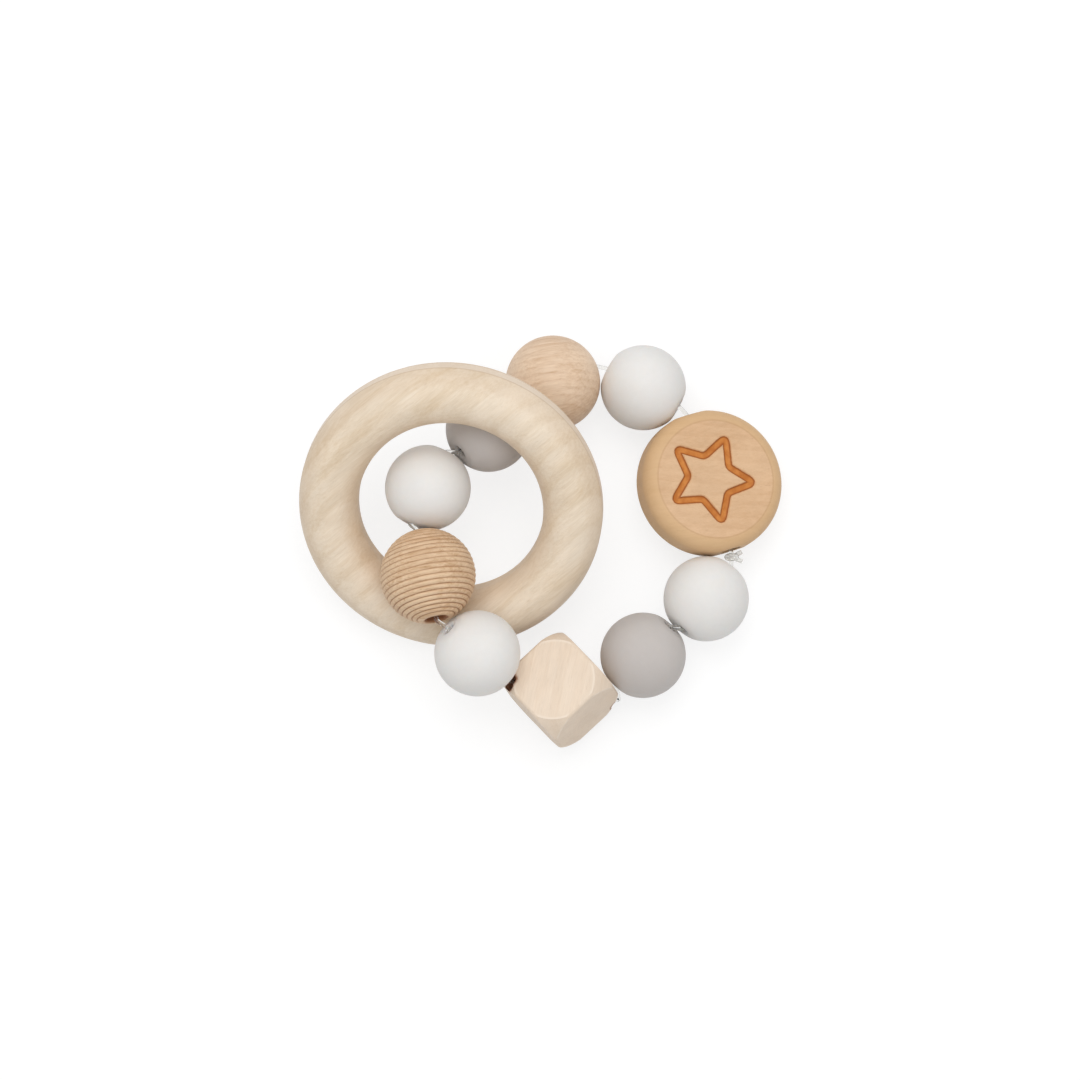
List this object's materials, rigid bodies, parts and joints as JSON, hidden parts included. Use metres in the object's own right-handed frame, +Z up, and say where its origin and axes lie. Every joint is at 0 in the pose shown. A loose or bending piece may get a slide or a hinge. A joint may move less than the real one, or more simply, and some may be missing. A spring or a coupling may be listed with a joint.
{
  "type": "baby rattle",
  "caption": "Baby rattle: wooden and silicone beads on a closed elastic cord that is linked through a wooden teething ring.",
  "frame": {"origin": "on the table, under the middle of the rattle's box", "axes": "+Z up from the table, +X along the rattle's longest side, towards the star disc"},
  "size_m": [0.1115, 0.0957, 0.0429],
  "materials": {
    "ring_wood": "smooth sanded, oiled",
    "grooved_wood": "turned, finely grooved",
    "plain_wood": "smooth sanded, oiled",
    "disc_wood": "smooth sanded, engraved star",
    "cube_wood": "smooth sanded",
    "white_silicone": "soft matt",
    "grey_silicone": "soft matt",
    "clear_elastic": "smooth"
  },
  "bodies": {
    "string": {"elastic_cord": "clear_elastic", "cord_knot": "clear_elastic"},
    "ring": {"wooden_ring": "ring_wood"},
    "grooved_ball": {"grooved_ball": "grooved_wood"},
    "white_bead_1": {"white_bead_1": "white_silicone"},
    "grey_bead_1": {"grey_bead_1": "grey_silicone"},
    "plain_ball": {"plain_ball": "plain_wood"},
    "white_bead_2": {"white_bead_2": "white_silicone"},
    "star_disc": {"star_disc": "disc_wood"},
    "white_bead_3": {"white_bead_3": "white_silicone"},
    "grey_bead_2": {"grey_bead_2": "grey_silicone"},
    "diagonal_cube": {"diagonal_cube": "cube_wood"},
    "white_bead_4": {"white_bead_4": "white_silicone"}
  },
  "joints": [
    {"name": "ring_lift", "type": "hinge", "parent": "string", "child": "ring", "pos_m": [-0.02167, -0.01608, 0.00762], "axis": [0.9958, -0.073, 0.0555], "range_deg": [0, 25]},
    {"name": "grooved_ball_turn", "type": "hinge", "parent": "string", "child": "grooved_ball", "pos_m": [-0.02597, -0.00945, 0.02406], "axis": [-0.1897, 0.9686, -0.1608], "continuous": true},
    {"name": "white_bead_1_turn", "type": "hinge", "parent": "string", "child": "white_bead_1", "pos_m": [-0.02608, 0.01125, 0.02085], "axis": [0.4435, 0.8958, -0.0301], "continuous": true},
    {"name": "grey_bead_1_turn", "type": "hinge", "parent": "string", "child": "grey_bead_1", "pos_m": [-0.01216, 0.02511, 0.01881], "axis": [0.7181, 0.6188, -0.3185], "continuous": true},
    {"name": "plain_ball_turn", "type": "hinge", "parent": "string", "child": "plain_ball", "pos_m": [0.00269, 0.03687, 0.011], "axis": [0.8813, 0.3934, -0.2617], "continuous": true},
    {"name": "white_bead_2_turn", "type": "hinge", "parent": "string", "child": "white_bead_2", "pos_m": [0.02369, 0.03587, 0.0099], "axis": [0.8801, -0.4738, 0.0325], "continuous": true},
    {"name": "star_disc_turn", "type": "hinge", "parent": "string", "child": "star_disc", "pos_m": [0.03893, 0.01362, 0.00901], "axis": [0.3038, -0.9527, 0], "continuous": true},
    {"name": "white_bead_3_turn", "type": "hinge", "parent": "string", "child": "white_bead_3", "pos_m": [0.03815, -0.01333, 0.0099], "axis": [-0.6147, -0.7763, 0.1394], "continuous": true},
    {"name": "grey_bead_2_turn", "type": "hinge", "parent": "string", "child": "grey_bead_2", "pos_m": [0.02353, -0.02646, 0.0099], "axis": [-0.6699, -0.6975, -0.2543], "continuous": true},
    {"name": "diagonal_cube_turn", "type": "hinge", "parent": "string", "child": "diagonal_cube", "pos_m": [0.00456, -0.03462, 0.01113], "axis": [-0.9045, 0.1234, 0.4082], "range_deg": [-15, 4]},
    {"name": "white_bead_4_turn", "type": "hinge", "parent": "string", "child": "white_bead_4", "pos_m": [-0.01466, -0.02705, 0.02175], "axis": [-0.7052, 0.5876, 0.3968], "continuous": true}
  ]
}
